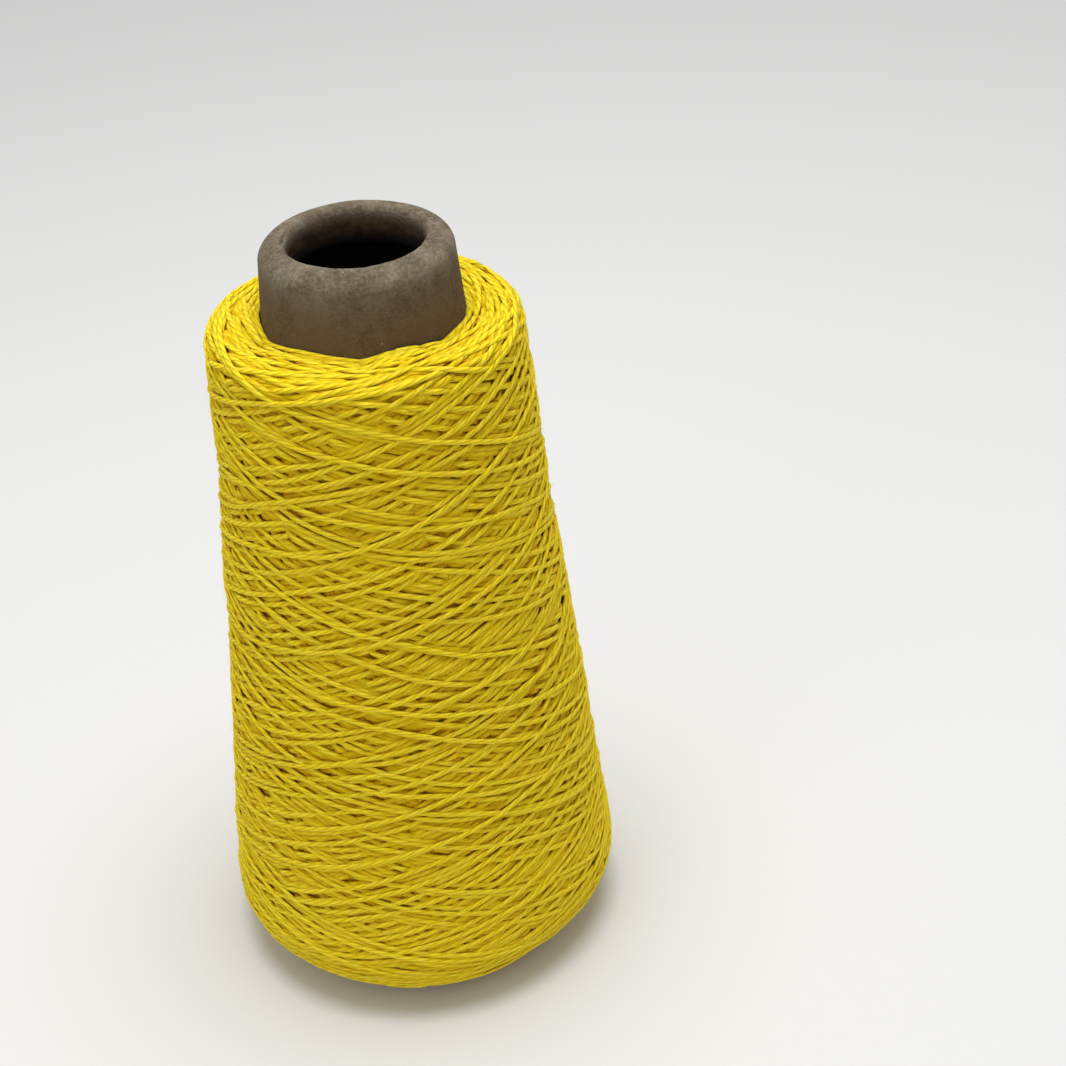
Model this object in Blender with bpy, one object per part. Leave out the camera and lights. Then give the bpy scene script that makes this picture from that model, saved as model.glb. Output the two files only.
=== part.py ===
"""Cone of yarn: cotton yarn cross-wound into a package on a tapered paper cone.

Metres, +Z up. The origin is the middle of the paper cone's foot, on the surface that it stands on.
-Y is the front, and azimuths run from the front towards +X.
"""

import math
from collections import namedtuple

import bmesh
import bpy

MM = 0.001

# Paper cone
CONE_HEIGHT = 170 * MM
CONE_TAPER = math.radians(4 + 20 / 60)  # half-angle, 4 degrees 20 minutes
NOSE_RADIUS = 19.7 * MM  # outside, where the taper ends and the rolled nose begins
PAPER_WALL = 2.0 * MM
CREST_RADIUS = 15.3 * MM  # of the circle where the nose is highest
LIP_RADIUS = 13.9 * MM  # of the round mouth, inside the turned-in lip
ROLL_HEIGHT = 3.8 * MM  # of the rounding from the outer side up to the crest
MOUTH_ROUNDING = 2.2 * MM  # height of the rounding from the crest down to the lip
LIP_DEPTH = 8.8 * MM  # from the top of the nose down to the end of its turned-in lip
LIP_ROUNDING = 1.2 * MM
ROLL_STEPS = 6
MOUTH_STEPS = 4
LIP_STEPS = 3
CONE_COLUMNS = 48

# Yarn package
CLEARANCE = 0.3 * MM  # between the yarn and the paper
YARN_BOTTOM = 2.5 * MM  # the paper foot stands this far out below the yarn
YARN_TOP = 153.7 * MM
TOP_RADIUS = 32.7 * MM
BOTTOM_RADIUS = 43.8 * MM
TOP_SHOULDER = 4.9 * MM
BOTTOM_SHOULDER = 13.3 * MM
WAIST = 0.6 * MM  # how far the sides are drawn in at mid height
BOW = 0.5 * MM  # how far the middle of the package leans towards +X

# Winding: bundles of turns cross on the side, each along a diagonal of the rows and columns of points.
# A height is that of a bundle's crest above the grooves, and a section runs from one crest to the next.
RISING_BUNDLES_MM = (0.95, 0.50, 0.80, 1.10, 0.60, 0.90, 0.45, 1.05, 0.70, 0.55, 0.95)
FALLING_BUNDLES_MM = (0.75, 1.05, 0.55, 0.90, 0.50, 1.10, 0.65, 0.85, 1.00, 0.45, 0.80)
BUNDLE_SECTION = (1.0, 0.5, 0.0, 0.5)
CREST_HEIGHT = 0.8 * MM  # of the crests that lie on the package's outline
COLUMNS = len(BUNDLE_SECTION) * len(RISING_BUNDLES_MM)
SIDE_ROWS = 84
TOP_SHOULDER_ROWS = 5
BOTTOM_SHOULDER_ROWS = 15
LEVEL_ROWS = 10  # of the bottom shoulder, over which the bundles sink into level turns
TOP_RINGS = 5  # level turns on the top face
INNER_RINGS = 3
GROOVE_DEPTH = 0.6 * MM  # between level turns

# Unevenness of the side: where each swell is, how far it spreads and how far it stands out
Swell = namedtuple("Swell", "azimuth_deg height_mm azimuth_spread_deg height_spread_mm out_mm")
SWELLS = (
    Swell(88, 20, 30, 12, 0.45),
    Swell(88, 60, 40, 14, 0.25),
    Swell(95, 108, 45, 12, -0.45),
    Swell(42, 6, 22, 10, -0.65),
    Swell(-5, 6, 22, 8, 0.40),
    Swell(-84, 19, 25, 8, -0.45),
    Swell(-92, 84, 45, 8, -0.40),
    Swell(-86, 100, 45, 7, 0.25),
    Swell(-90, 122, 40, 8, -0.35),
    Swell(-86, 141, 35, 6, 0.30),
    Swell(-110, 151, 30, 8, 0.35),
    Swell(170, 70, 45, 20, 0.35),
    Swell(150, 125, 40, 15, -0.30),
)
SWELL_FADE = 3 * MM  # how near the paper the swells fade out
# Unevenness of the top face, greatest where the yarn meets the paper
Bunch = namedtuple("Bunch", "azimuth_deg spread_deg rise_mm")
TOP_BUNCHES = (
    Bunch(-90, 20, 1.8),
    Bunch(-32, 22, 1.2),
    Bunch(3, 10, -0.5),
    Bunch(60, 30, -1.3),
    Bunch(130, 30, 0.6),
    Bunch(-150, 25, -0.6),
)

PAPER_COLOUR = (0.165, 0.118, 0.082, 1.0)
PAPER_ROUGHNESS = 0.85
YARN_COLOUR = (0.84, 0.64, 0.02, 1.0)
YARN_ROUGHNESS = 0.9
SHARP_ANGLE = math.radians(50)

# One row of the package's outline: outward_deg is the way its relief stands, from 90, up, to -90, down;
# crossing is its share of the crossing bundles' height, and groove its share of a level groove's depth.
Row = namedtuple("Row", "radius height outward_deg crossing groove")


def remove_objects():
    for item in list(bpy.data.objects):
        bpy.data.objects.remove(item, do_unlink=True)


def cone_radius(height):
    """The paper cone's outer radius on its straight taper."""
    return NOSE_RADIUS + (CONE_HEIGHT - ROLL_HEIGHT - height) * math.tan(CONE_TAPER)


def arc(centre, radii, start_deg, end_deg, steps):
    """Points of an elliptical arc in the plane of radius and height, with both of its ends."""
    points = []
    for step in range(steps + 1):
        angle = math.radians(start_deg + (end_deg - start_deg) * step / steps)
        points.append((centre[0] + radii[0] * math.cos(angle), centre[1] + radii[1] * math.sin(angle)))
    return points


def cone_outline():
    """The paper wall's closed outline: up the outer side, over the rolled nose and down the inner side."""
    roll_centre = (CREST_RADIUS, CONE_HEIGHT - ROLL_HEIGHT)
    mouth_centre = (CREST_RADIUS, CONE_HEIGHT - MOUTH_ROUNDING)
    lip_end = CONE_HEIGHT - LIP_DEPTH
    lip_centre = (LIP_RADIUS + LIP_ROUNDING, lip_end + LIP_ROUNDING)
    outline = [(cone_radius(0), 0)]
    outline += arc(roll_centre, (NOSE_RADIUS - CREST_RADIUS, ROLL_HEIGHT), 0, 90, ROLL_STEPS)
    outline += arc(mouth_centre, (CREST_RADIUS - LIP_RADIUS, MOUTH_ROUNDING), 90, 180, MOUTH_STEPS)[1:]
    outline += arc(lip_centre, (LIP_ROUNDING, LIP_ROUNDING), 180, 270, LIP_STEPS)
    outline.append((cone_radius(lip_end) - PAPER_WALL, lip_end))
    outline.append((cone_radius(0) - PAPER_WALL, 0))
    return outline


def yarn_inner_radius(height):
    return cone_radius(height) + CLEARANCE


def package_rows():
    """The yarn's outline from the paper out over the top face, down the side and in to the paper."""
    top_flat = TOP_RADIUS - TOP_SHOULDER
    shoulder_centre = BOTTOM_RADIUS - BOTTOM_SHOULDER
    side_top = YARN_TOP - TOP_SHOULDER
    side_bottom = YARN_BOTTOM + BOTTOM_SHOULDER
    rows = []

    top_inner = yarn_inner_radius(YARN_TOP)
    for ring in range(TOP_RINGS):
        radius = top_inner + (top_flat - top_inner) * ring / TOP_RINGS
        rows.append(Row(radius, YARN_TOP, 90, 0, ring % 2))

    top_arc = arc((top_flat, side_top), (TOP_SHOULDER, TOP_SHOULDER), 90, 0, TOP_SHOULDER_ROWS)
    for step, (radius, height) in enumerate(top_arc):
        down = step / TOP_SHOULDER_ROWS
        rows.append(Row(radius, height, 90 * (1 - down), down, (1 - down) * (len(rows) % 2)))

    for step in range(1, SIDE_ROWS):
        down = step / SIDE_ROWS
        radius = TOP_RADIUS + (BOTTOM_RADIUS - TOP_RADIUS) * down - WAIST * 4 * down * (1 - down)
        rows.append(Row(radius, side_top + (side_bottom - side_top) * down, 0, 1, 0))

    to_paper = yarn_inner_radius(YARN_BOTTOM) - shoulder_centre
    end_deg = -math.degrees(math.acos(to_paper / BOTTOM_SHOULDER))
    bottom_radii = (BOTTOM_SHOULDER, BOTTOM_SHOULDER)
    bottom_arc = arc((shoulder_centre, side_bottom), bottom_radii, 0, end_deg, BOTTOM_SHOULDER_ROWS)
    for step, (radius, height) in enumerate(bottom_arc):
        steps_left = BOTTOM_SHOULDER_ROWS - step
        crossing = min(1, steps_left / LEVEL_ROWS)
        groove = (1 - crossing) * (steps_left % 2)
        rows.append(Row(radius, height, end_deg * step / BOTTOM_SHOULDER_ROWS, crossing, groove))
    return rows


def bell(distance, spread):
    """A smooth bump: 1 at no distance, and little past its spread."""
    return math.exp(-((distance / spread) ** 2))


def degrees_apart(azimuth_deg, other_deg):
    return (azimuth_deg - other_deg + 180) % 360 - 180


def swell_at(azimuth_deg, height):
    """How far the yarn stands out of its even outline at this azimuth and height."""
    up = (height - YARN_BOTTOM) / (YARN_TOP - YARN_BOTTOM)
    out = BOW * 4 * up * (1 - up) * math.sin(math.radians(azimuth_deg))
    for swell in SWELLS:
        around = bell(degrees_apart(azimuth_deg, swell.azimuth_deg), swell.azimuth_spread_deg)
        out += swell.out_mm * MM * around * bell(height / MM - swell.height_mm, swell.height_spread_mm)
    return out


def top_rise(azimuth_deg, radius):
    """How far the top face is bunched up here, from all of it at the paper to none at the rim."""
    inner = yarn_inner_radius(YARN_TOP)
    towards_rim = min(1, (radius - inner) / (TOP_RADIUS - inner))
    rise = 0
    for bunch in TOP_BUNCHES:
        rise += bunch.rise_mm * MM * bell(degrees_apart(azimuth_deg, bunch.azimuth_deg), bunch.spread_deg)
    return rise * (1 - towards_rim)


def bundle_height(diagonal, heights_mm):
    """Height above the grooves of a point on this diagonal, which is on a bundle's crest or beside it."""
    period = len(BUNDLE_SECTION)
    nearest_bundle = round(diagonal / period) % len(heights_mm)
    return heights_mm[nearest_bundle] * MM * BUNDLE_SECTION[diagonal % period]


def crossing_height(row_number, column):
    """Height where the rising and the falling bundles lie over each other."""
    rising = bundle_height(row_number + column, RISING_BUNDLES_MM)
    falling = bundle_height(row_number - column, FALLING_BUNDLES_MM)
    return max(rising, falling)


def ring_point(radius, azimuth_deg, height):
    azimuth = math.radians(azimuth_deg)
    return (radius * math.sin(azimuth), -radius * math.cos(azimuth), height)


def outer_ring(row_number, row):
    """One ring of points on the yarn's outside, with its bundles, grooves and swells."""
    points = []
    outward = math.radians(row.outward_deg)
    off_paper = min(1, (row.radius - yarn_inner_radius(row.height)) / SWELL_FADE)
    for column in range(COLUMNS):
        azimuth_deg = 360 * column / COLUMNS
        relief = row.crossing * (crossing_height(row_number, column) - CREST_HEIGHT)
        relief -= row.groove * GROOVE_DEPTH
        out = relief + off_paper * swell_at(azimuth_deg, row.height)
        rise = top_rise(azimuth_deg, row.radius) if row.outward_deg > 0 else 0
        radius = row.radius + out * math.cos(outward)
        points.append(ring_point(radius, azimuth_deg, row.height + out * math.sin(outward) + rise))
    return points


def inner_ring(height):
    radius = yarn_inner_radius(height)
    return [ring_point(radius, 360 * column / COLUMNS, height) for column in range(COLUMNS)]


def spans_ridge(row_number, column):
    """Whether a bundle's crest runs from this point down to the next column rather than up to it."""
    falling = crossing_height(row_number, column) + crossing_height(row_number + 1, column + 1)
    rising = crossing_height(row_number, column + 1) + crossing_height(row_number + 1, column)
    return falling > rising


def finished_object(name, body, material):
    bmesh.ops.recalc_face_normals(body, faces=body.faces)
    mesh = bpy.data.meshes.new(name)
    body.to_mesh(mesh)
    body.free()
    mesh.materials.append(material)
    mesh.shade_smooth()
    mesh.set_sharp_from_angle(angle=SHARP_ANGLE)
    item = bpy.data.objects.new(name, mesh)
    bpy.context.scene.collection.objects.link(item)
    return item


def plain_material(name, colour, roughness):
    material = bpy.data.materials.new(name)
    material.use_nodes = True
    shader = material.node_tree.nodes["Principled BSDF"]
    shader.inputs["Base Color"].default_value = colour
    shader.inputs["Roughness"].default_value = roughness
    shader.inputs["Metallic"].default_value = 0.0
    return material


def build_paper_cone():
    """Grey-brown paper wound into a tapered tube, its nose rolled inwards and its bore open."""
    body = bmesh.new()
    corners = [body.verts.new((radius, 0, height)) for radius, height in cone_outline()]
    edges = [body.edges.new((corners[i - 1], corners[i])) for i in range(len(corners))]
    bmesh.ops.spin(
        body,
        geom=corners + edges,
        cent=(0, 0, 0),
        axis=(0, 0, 1),
        angle=math.tau,
        steps=CONE_COLUMNS,
        use_merge=True,
    )
    return finished_object("paper_cone", body, plain_material("paper", PAPER_COLOUR, PAPER_ROUGHNESS))


def build_yarn_package():
    """The wound yarn as one ring of its outer form, its crossing bundles raised on the side."""
    rows = package_rows()
    rings = [outer_ring(row_number, row) for row_number, row in enumerate(rows)]
    bottom = rows[-1].height
    for step in range(1, INNER_RINGS + 1):
        up = step / (INNER_RINGS + 1)
        rings.append(inner_ring(bottom + (YARN_TOP - bottom) * up))

    body = bmesh.new()
    grid = [[body.verts.new(point) for point in ring] for ring in rings]
    for row_number, ring in enumerate(grid):
        below = grid[(row_number + 1) % len(grid)]
        for column in range(COLUMNS):
            beside = (column + 1) % COLUMNS
            face = body.faces.new((ring[column], below[column], below[beside], ring[beside]))
            if spans_ridge(row_number, column):
                bmesh.utils.face_split(face, ring[column], below[beside])
            else:
                bmesh.utils.face_split(face, ring[beside], below[column])
    return finished_object("yarn_package", body, plain_material("yarn", YARN_COLOUR, YARN_ROUGHNESS))


remove_objects()
build_paper_cone()
build_yarn_package()
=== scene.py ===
import math

import bpy
import numpy as np
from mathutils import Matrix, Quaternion, Vector


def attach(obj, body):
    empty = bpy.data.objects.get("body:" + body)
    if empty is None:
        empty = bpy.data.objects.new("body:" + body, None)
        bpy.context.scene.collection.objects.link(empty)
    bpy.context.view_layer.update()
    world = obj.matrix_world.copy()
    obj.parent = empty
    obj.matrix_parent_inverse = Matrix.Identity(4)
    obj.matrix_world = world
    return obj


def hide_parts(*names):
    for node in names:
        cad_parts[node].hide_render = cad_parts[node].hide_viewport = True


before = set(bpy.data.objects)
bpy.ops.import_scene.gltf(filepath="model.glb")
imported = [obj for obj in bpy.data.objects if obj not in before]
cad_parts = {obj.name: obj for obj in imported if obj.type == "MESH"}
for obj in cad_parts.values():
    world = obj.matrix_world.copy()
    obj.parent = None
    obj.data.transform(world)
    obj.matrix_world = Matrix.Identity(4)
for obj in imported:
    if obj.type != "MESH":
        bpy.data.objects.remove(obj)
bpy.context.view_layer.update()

# ---- Camera -------------------------------------------------------------------------------------
# The photo's camera, solved from the outlines of the nose, the paper wall and the package. It looks
# down on the cone from the front, and is rolled a little, so that the cone leans to the left.
CAMERA_PLACE = Vector((0.0, -0.42117, 0.36397))
CAMERA_AIM = Vector((0.030824, 0.0, 0.095778))
CAMERA_ROLL = math.radians(-4.239)
CAMERA_LENS = 78.46

scene = bpy.context.scene
camera_data = bpy.data.cameras.new("camera")
camera_data.lens = CAMERA_LENS
camera = bpy.data.objects.new("camera", camera_data)
scene.collection.objects.link(camera)
camera.location = CAMERA_PLACE
camera.rotation_mode = "QUATERNION"
level_view = (CAMERA_AIM - CAMERA_PLACE).to_track_quat("-Z", "Y")
camera.rotation_quaternion = level_view @ Quaternion((0, 0, 1), CAMERA_ROLL)
scene.camera = camera
scene.view_settings.view_transform = "Standard"

# ---- Studio -------------------------------------------------------------------------------------
# The photo shows its cones on plain white in even light. Here that is a pale matt floor under an even
# white sky, with a large soft light overhead and a weaker one in front.
FLOOR_SIZE = 4.0
FLOOR_COLOUR = (0.72, 0.72, 0.715, 1.0)
FLOOR_ROUGHNESS = 0.95
SKY_COLOUR = (1.0, 1.0, 1.0, 1.0)
SKY_STRENGTH = 0.52
LIGHT_AIM = Vector((0.0, 0.0, 0.08))
SOFT_LIGHTS = (
    # name, place, size, power
    ("overhead_light", (0.03, 0.0, 0.90), 0.6, 6.25),
    ("front_light", (-0.65, -0.70, 0.50), 0.7, 1.3),
)

bpy.ops.object.select_all(action="DESELECT")
bpy.ops.mesh.primitive_plane_add(size=FLOOR_SIZE, location=(0, 0, 0))
floor = bpy.context.object
floor.name = "floor"
floor_paint = bpy.data.materials.new("floor_paint")
floor_paint.use_nodes = True
floor_shader = floor_paint.node_tree.nodes["Principled BSDF"]
floor_shader.inputs["Base Color"].default_value = FLOOR_COLOUR
floor_shader.inputs["Roughness"].default_value = FLOOR_ROUGHNESS
floor.data.materials.append(floor_paint)

sky = bpy.data.worlds.new("sky")
sky.use_nodes = True
sky.node_tree.nodes["Background"].inputs["Color"].default_value = SKY_COLOUR
sky.node_tree.nodes["Background"].inputs["Strength"].default_value = SKY_STRENGTH
scene.world = sky

for name, place, size, power in SOFT_LIGHTS:
    lamp = bpy.data.lights.new(name, "AREA")
    lamp.shape = "DISK"
    lamp.size = size
    lamp.energy = power
    light = bpy.data.objects.new(name, lamp)
    scene.collection.objects.link(light)
    light.location = place
    light.rotation_mode = "QUATERNION"
    light.rotation_quaternion = (LIGHT_AIM - Vector(place)).to_track_quat("-Z", "Y")

# ---- Paper cone ---------------------------------------------------------------------------------
# Strips of grey-brown paper are wound on a mandrel and glued into a tapered tube. Its small end is
# rolled inwards over a hot die, which leaves a thick round nose with a lip that hangs in the bore.
MM = 0.001
CONE_HEIGHT = 170 * MM
CONE_TAPER = math.radians(4 + 20 / 60)
NOSE_RADIUS = 19.7 * MM
PAPER_WALL = 2.0 * MM
CREST_RADIUS = 15.3 * MM
LIP_RADIUS = 13.9 * MM
ROLL_HEIGHT = 3.8 * MM
MOUTH_ROUNDING = 2.2 * MM
LIP_DEPTH = 8.8 * MM
LIP_ROUNDING = 1.2 * MM
FOOT_ROUNDING = 0.35 * MM
CONE_SIDES = 144
WALL_STEP = 4 * MM


def paper_radius(height):
    return NOSE_RADIUS + (CONE_HEIGHT - ROLL_HEIGHT - height) * math.tan(CONE_TAPER)


def arc(centre, radii, start_deg, end_deg, steps):
    angles = np.radians(np.linspace(start_deg, end_deg, steps + 1))
    return [(centre[0] + radii[0] * math.cos(a), centre[1] + radii[1] * math.sin(a)) for a in angles]


def straight_wall(start_height, end_height, inwards):
    steps = max(1, round(abs(end_height - start_height) / WALL_STEP))
    return [(paper_radius(h) - inwards, h) for h in np.linspace(start_height, end_height, steps + 1)]


def paper_outline():
    """Radius and height around the paper wall: up the outside, over the nose and down the inside."""
    rounding = FOOT_ROUNDING
    roll_centre = (CREST_RADIUS, CONE_HEIGHT - ROLL_HEIGHT)
    mouth_centre = (CREST_RADIUS, CONE_HEIGHT - MOUTH_ROUNDING)
    lip_end = CONE_HEIGHT - LIP_DEPTH
    lip_centre = (LIP_RADIUS + LIP_ROUNDING, lip_end + LIP_ROUNDING)
    foot_outside = paper_radius(0)
    foot_inside = foot_outside - PAPER_WALL
    outline = arc((foot_outside - rounding, rounding), (rounding, rounding), -90, 0, 3)
    outline += straight_wall(2 * rounding, roll_centre[1], 0)[:-1]
    outline += arc(roll_centre, (NOSE_RADIUS - CREST_RADIUS, ROLL_HEIGHT), 0, 90, 14)
    outline += arc(mouth_centre, (CREST_RADIUS - LIP_RADIUS, MOUTH_ROUNDING), 90, 180, 8)[1:]
    outline += arc(lip_centre, (LIP_ROUNDING, LIP_ROUNDING), 180, 270, 6)
    outline += straight_wall(lip_end, 2 * rounding, PAPER_WALL)
    outline += arc((foot_inside + rounding, rounding), (rounding, rounding), 180, 270, 3)
    return outline


def turn_ring(name, outline, sides):
    """A closed ring turned from its outline: a circle is extruded from point to point and scaled."""
    bpy.ops.object.select_all(action="DESELECT")
    first_radius, first_height = outline[0]
    bpy.ops.mesh.primitive_circle_add(vertices=sides, radius=first_radius, location=(0, 0, first_height))
    ring = bpy.context.object
    ring.name = name
    bpy.ops.object.transform_apply(location=True)
    bpy.ops.object.mode_set(mode="EDIT")
    bpy.ops.mesh.select_all(action="SELECT")
    for (radius, height), (next_radius, next_height) in zip(outline, outline[1:]):
        rise = (0, 0, next_height - height)
        bpy.ops.mesh.extrude_region_move(TRANSFORM_OT_translate={"value": rise})
        share = next_radius / radius
        bpy.ops.transform.resize(value=(share, share, 1), center_override=(0, 0, next_height))
    bpy.ops.mesh.select_all(action="DESELECT")
    bpy.ops.mesh.select_mode(type="EDGE")
    bpy.ops.mesh.select_non_manifold()
    bpy.ops.mesh.bridge_edge_loops()
    bpy.ops.mesh.select_all(action="SELECT")
    bpy.ops.mesh.normals_make_consistent(inside=False)
    bpy.ops.object.mode_set(mode="OBJECT")
    bpy.ops.object.shade_smooth()
    return ring


paper_cone = turn_ring("wound_paper_cone", paper_outline(), CONE_SIDES)

# The rolled nose is never quite even: the paper gathers as it turns in.
ROLL_WAVE = 0.12 * MM
paper_points = np.empty(len(paper_cone.data.vertices) * 3)
paper_cone.data.vertices.foreach_get("co", paper_points)
paper_points = paper_points.reshape(-1, 3)
around_cone = np.arctan2(paper_points[:, 0], -paper_points[:, 1])
near_nose = np.clip((paper_points[:, 2] - (CONE_HEIGHT - LIP_DEPTH)) / LIP_DEPTH, 0, 1)
nose_wave = np.sin(3 * around_cone + 0.6) + 0.6 * np.sin(7 * around_cone + 2.0)
from_outside = NOSE_RADIUS - np.hypot(paper_points[:, 0], paper_points[:, 1])
inner_share = np.clip(from_outside / (NOSE_RADIUS - LIP_RADIUS), 0, 1)
gather_wave = np.sin(23 * around_cone) * np.sin(9 * around_cone + 1.0) * inner_share
paper_points[:, 2] -= ROLL_WAVE * near_nose * (1 + 0.5 * nose_wave)
paper_points[:, :2] *= 1 + (ROLL_WAVE * near_nose * gather_wave / NOSE_RADIUS)[:, None]
# In one place the paper has folded as it turned in, which leaves a short crease along the mouth.
CREASE_AZIMUTH_DEG = -101
CREASE_SPREAD_DEG = 12
CREASE_RADIUS = 14.65 * MM
CREASE_WIDTH = 0.25 * MM
CREASE_DEPTH = 0.45 * MM
crease_around = (np.degrees(around_cone) - CREASE_AZIMUTH_DEG) / CREASE_SPREAD_DEG
crease_across = (np.hypot(paper_points[:, 0], paper_points[:, 1]) - CREASE_RADIUS) / CREASE_WIDTH
crease = np.exp(-(crease_around**4) - crease_across**2) * (paper_points[:, 2] > CONE_HEIGHT - ROLL_HEIGHT)
paper_points[:, 2] -= CREASE_DEPTH * crease
paper_cone.data.vertices.foreach_set("co", paper_points.ravel())
crease_shade_marks = paper_cone.data.attributes.new("crease", "FLOAT", "POINT")
crease_shade_marks.data.foreach_set("value", crease.astype(np.float32))
paper_cone.data.update()

PAPER_COLOUR = (0.110, 0.071, 0.036, 1.0)
PAPER_DARK = (0.064, 0.037, 0.017, 1.0)
PAPER_PALE = (0.162, 0.120, 0.073, 1.0)
# The rolled nose's top: partly handling wear, partly painted sheen from the light above.
PAPER_WORN_AND_SHEEN = (0.250, 0.208, 0.152, 1.0)
PAPER_WORN_AND_SHEEN_DARK = (0.095, 0.073, 0.047, 1.0)
# Near the yarn: partly a stain, partly painted bounce light from the yarn.
PAPER_STAIN_AND_BOUNCE = (0.110, 0.062, 0.016, 1.0)
# Painted shade inside the mouth and down the bore, darkest near the nose.
PAPER_INSIDE_SHADE = (0.076, 0.043, 0.021, 1.0)
PAPER_INSIDE_DEEP_SHADE = (0.029, 0.014, 0.006, 1.0)
PAPER_BORE_SHADE = (0.004, 0.002, 0.001, 1.0)
PAPER_FLECK_DARK = (0.02, 0.012, 0.008, 1.0)
PAPER_FLECK_PALE = (0.42, 0.38, 0.30, 1.0)
# Patches in a metre, the noise values between which they fade in, and the noise's detail and roughness.
PAPER_CLOUDS = (130, 0.40, 0.66, 3.0, 0.55)
PAPER_MOTTLE = (360, 0.36, 0.64, 4.0, 0.60)
PAPER_PITS = (1300, 0.36, 0.64, 3.0, 0.65)
PAPER_GRAIN = (2600, 3.0, 0.7)  # doesn't fade
STAIN_AND_BOUNCE_TOP = 165 * MM
STAIN_AND_BOUNCE_BOTTOM = 154 * MM
WEAR_AND_SHEEN_HEIGHT = 2.2 * ROLL_HEIGHT
MOUTH_DARK_FROM_SIDE = (4.2 * MM, 5.6 * MM)  # from the nose's radius, between which the mouth darkens
MOUTH_DARK_FROM_TOP = (1.0 * MM, 4.5 * MM)
BORE_DARK_FROM_TOP = (4.0 * MM, 8.0 * MM)
BORE_PALER_FROM_TOP = (60 * MM, 130 * MM)
HALF_WALL = 1.2 * MM


def new_material(name):
    material = bpy.data.materials.new(name)
    material.use_nodes = True
    tree = material.node_tree
    return material, tree, tree.nodes["Principled BSDF"]


def add_node(tree, kind, values=(), **settings):
    """A node with its settings. Each socket is linked to an output or set to a value of its own."""
    node = tree.nodes.new(kind)
    for setting, value in settings.items():
        setattr(node, setting, value)
    for socket, value in dict(values).items():
        if isinstance(value, bpy.types.NodeSocket):
            tree.links.new(value, node.inputs[socket])
        else:
            node.inputs[socket].default_value = value
    return node


def colour_mix(tree, share, low, high):
    """Mixes two colours by a share. Each of the three is an output or a value."""
    return add_node(tree, "ShaderNodeMix", {0: share, 6: low, 7: high}, data_type="RGBA").outputs[2]


def maths(tree, operation, first, second):
    """A math node on two outputs or numbers."""
    return add_node(tree, "ShaderNodeMath", {0: first, 1: second}, operation=operation).outputs[0]


def times(tree, first, second):
    return maths(tree, "MULTIPLY", first, second)


def layered(tree, colour, layers):
    """Lays other colours over this one, each by its mask and by how strong it is at most."""
    for mask, strength, other in layers:
        colour = colour_mix(tree, times(tree, mask, strength), colour, other)
    return colour


def fade(tree, value, start, end):
    """A smooth step from 0 at the start to 1 at the end, whichever of them is the larger."""
    values = {"Value": value, "From Min": start, "From Max": end}
    return add_node(tree, "ShaderNodeMapRange", values, interpolation_type="SMOOTHSTEP").outputs["Result"]


def noise(tree, place, scale, detail, roughness):
    values = {"Vector": place, "Scale": scale, "Detail": detail, "Roughness": roughness}
    return add_node(tree, "ShaderNodeTexNoise", values).outputs["Fac"]


def soft_patches_group():
    """A node group that fades a noise into a mask of soft patches."""
    group = bpy.data.node_groups.new("soft_patches", "ShaderNodeTree")
    texture = add_node(group, "ShaderNodeTexNoise")
    limits = add_node(group, "ShaderNodeMapRange", interpolation_type="SMOOTHSTEP")
    start, end = add_node(group, "NodeGroupInput"), add_node(group, "NodeGroupOutput")
    for name, kind, socket in (
        ("Place", "NodeSocketVector", texture.inputs["Vector"]),
        ("Scale", "NodeSocketFloat", texture.inputs["Scale"]),
        ("Fade From", "NodeSocketFloat", limits.inputs["From Min"]),
        ("Fade To", "NodeSocketFloat", limits.inputs["From Max"]),
        ("Detail", "NodeSocketFloat", texture.inputs["Detail"]),
        ("Roughness", "NodeSocketFloat", texture.inputs["Roughness"]),
    ):
        group.interface.new_socket(name, in_out="INPUT", socket_type=kind)
        group.links.new(start.outputs[name], socket)
    group.interface.new_socket("Mask", in_out="OUTPUT", socket_type="NodeSocketFloat")
    group.links.new(texture.outputs["Fac"], limits.inputs["Value"])
    group.links.new(limits.outputs["Result"], end.inputs["Mask"])
    return group


soft_patches = soft_patches_group()


def patches(tree, place, scale, start, end, detail, roughness):
    """The mask of soft patches, which the paper, the yarn and the loose fibres share."""
    values = {"Place": place, "Scale": scale, "Fade From": start, "Fade To": end}
    values |= {"Detail": detail, "Roughness": roughness}
    return add_node(tree, "ShaderNodeGroup", values, node_tree=soft_patches).outputs["Mask"]


def from_axis(tree, place):
    """Distance from the cone's axis."""
    level = add_node(tree, "ShaderNodeVectorMath", {0: place, 1: (1, 1, 0)}, operation="MULTIPLY")
    length = add_node(tree, "ShaderNodeVectorMath", {0: level.outputs["Vector"]}, operation="LENGTH")
    return length.outputs["Value"]


def height_of(tree, place):
    return add_node(tree, "ShaderNodeSeparateXYZ", {"Vector": place}).outputs["Z"]


def marked(tree, name):
    """What the mesh's points are marked with under this name."""
    marks = add_node(tree, "ShaderNodeAttribute", attribute_name=name, attribute_type="GEOMETRY")
    return marks.outputs["Fac"]


def flecks(tree, place, scale, size):
    """Small round specks, at about one place in each cell of this scale that the surface meets."""
    cells = add_node(tree, "ShaderNodeTexVoronoi", {"Vector": place, "Scale": scale})
    return fade(tree, maths(tree, "SUBTRACT", 1.0, cells.outputs["Distance"]), 1 - size, 1 - size / 2)


def add_bump(tree, shader, relief, strength, distance):
    bump = add_node(tree, "ShaderNodeBump", {"Height": relief, "Strength": strength, "Distance": distance})
    tree.links.new(bump.outputs["Normal"], shader.inputs["Normal"])


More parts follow.
